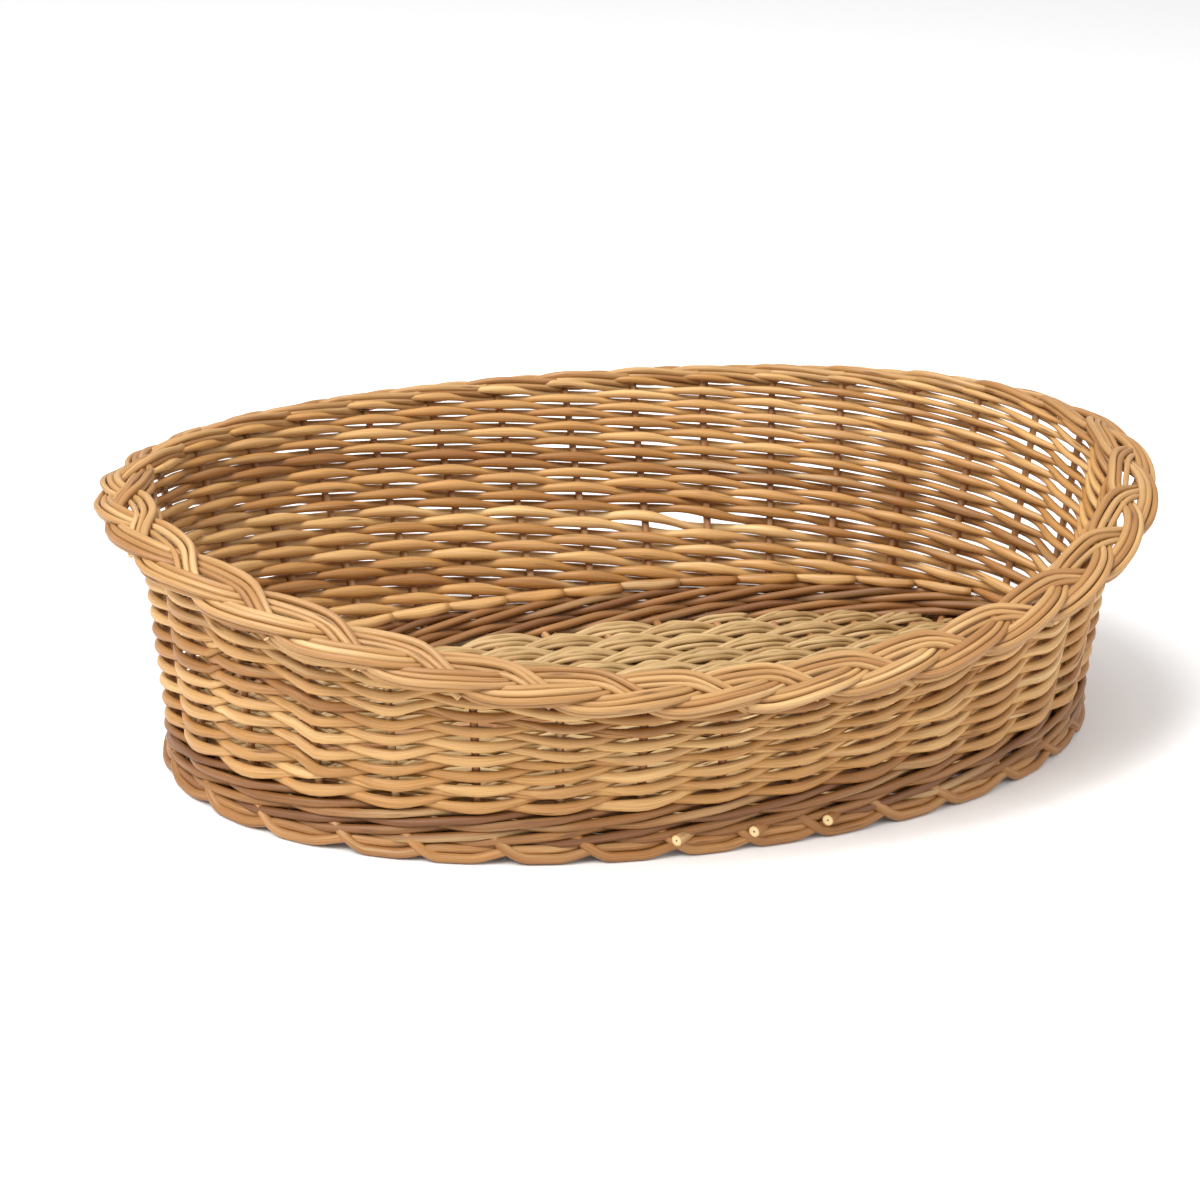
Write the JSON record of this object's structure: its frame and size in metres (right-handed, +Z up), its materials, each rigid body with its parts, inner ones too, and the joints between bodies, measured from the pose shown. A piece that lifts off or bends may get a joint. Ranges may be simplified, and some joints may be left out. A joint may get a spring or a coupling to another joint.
{
  "type": "wicker pet bed basket",
  "caption": "Oval woven willow pet bed basket with flared sides, a lowered front and a plaited rim, standing on a low foot border.",
  "frame": {"origin": "on the ground under the middle of the rim", "axes": "+X along the basket, +Y to its high back, +Z up"},
  "size_m": [0.6994, 0.4936, 0.1878],
  "materials": {
    "stake_willow": "satin, peeled and buffed willow",
    "side_willow": "satin, peeled and buffed willow",
    "rim_willow": "satin, peeled and buffed willow",
    "floor_willow": "satin, pale willow"
  },
  "bodies": {
    "root": {"foot_border": "stake_willow", "long_stick_01": "stake_willow", "long_stick_02": "stake_willow", "long_stick_03": "stake_willow", "cross_stick_01": "stake_willow", "cross_stick_02": "stake_willow", "cross_stick_03": "stake_willow", "cross_stick_04": "stake_willow", "cross_stick_05": "stake_willow", "cross_stick_06": "stake_willow", "cross_stick_07": "stake_willow", "cross_stick_08": "stake_willow", "cross_stick_09": "stake_willow", "cross_stick_10": "stake_willow", "cross_stick_11": "stake_willow", "cross_stick_12": "stake_willow", "floor_weave": "floor_willow", "side_stake_01": "stake_willow", "side_stake_02": "stake_willow", "side_stake_03": "stake_willow", "side_stake_04": "stake_willow", "side_stake_05": "stake_willow", "side_stake_06": "stake_willow", "side_stake_07": "stake_willow", "side_stake_08": "stake_willow", "side_stake_09": "stake_willow", "side_stake_10": "stake_willow", "side_stake_11": "stake_willow", "side_stake_12": "stake_willow", "side_stake_13": "stake_willow", "side_stake_14": "stake_willow", "side_stake_15": "stake_willow", "side_stake_16": "stake_willow", "side_stake_17": "stake_willow", "side_stake_18": "stake_willow", "side_stake_19": "stake_willow", "side_stake_20": "stake_willow", "side_stake_21": "stake_willow", "side_stake_22": "stake_willow", "side_stake_23": "stake_willow", "side_stake_24": "stake_willow", "side_stake_25": "stake_willow", "side_stake_26": "stake_willow", "side_stake_27": "stake_willow", "side_stake_28": "stake_willow", "side_stake_29": "stake_willow", "side_stake_30": "stake_willow", "side_stake_31": "stake_willow", "side_stake_32": "stake_willow", "side_stake_33": "stake_willow", "side_stake_34": "stake_willow", "upsett_wale": "side_willow", "side_weave_set_01": "side_willow", "side_weave_set_02": "side_willow", "side_weave_set_03": "side_willow", "plait_strand_01": "rim_willow", "plait_strand_02": "rim_willow", "plait_strand_03": "rim_willow"}
  },
  "joints": []
}
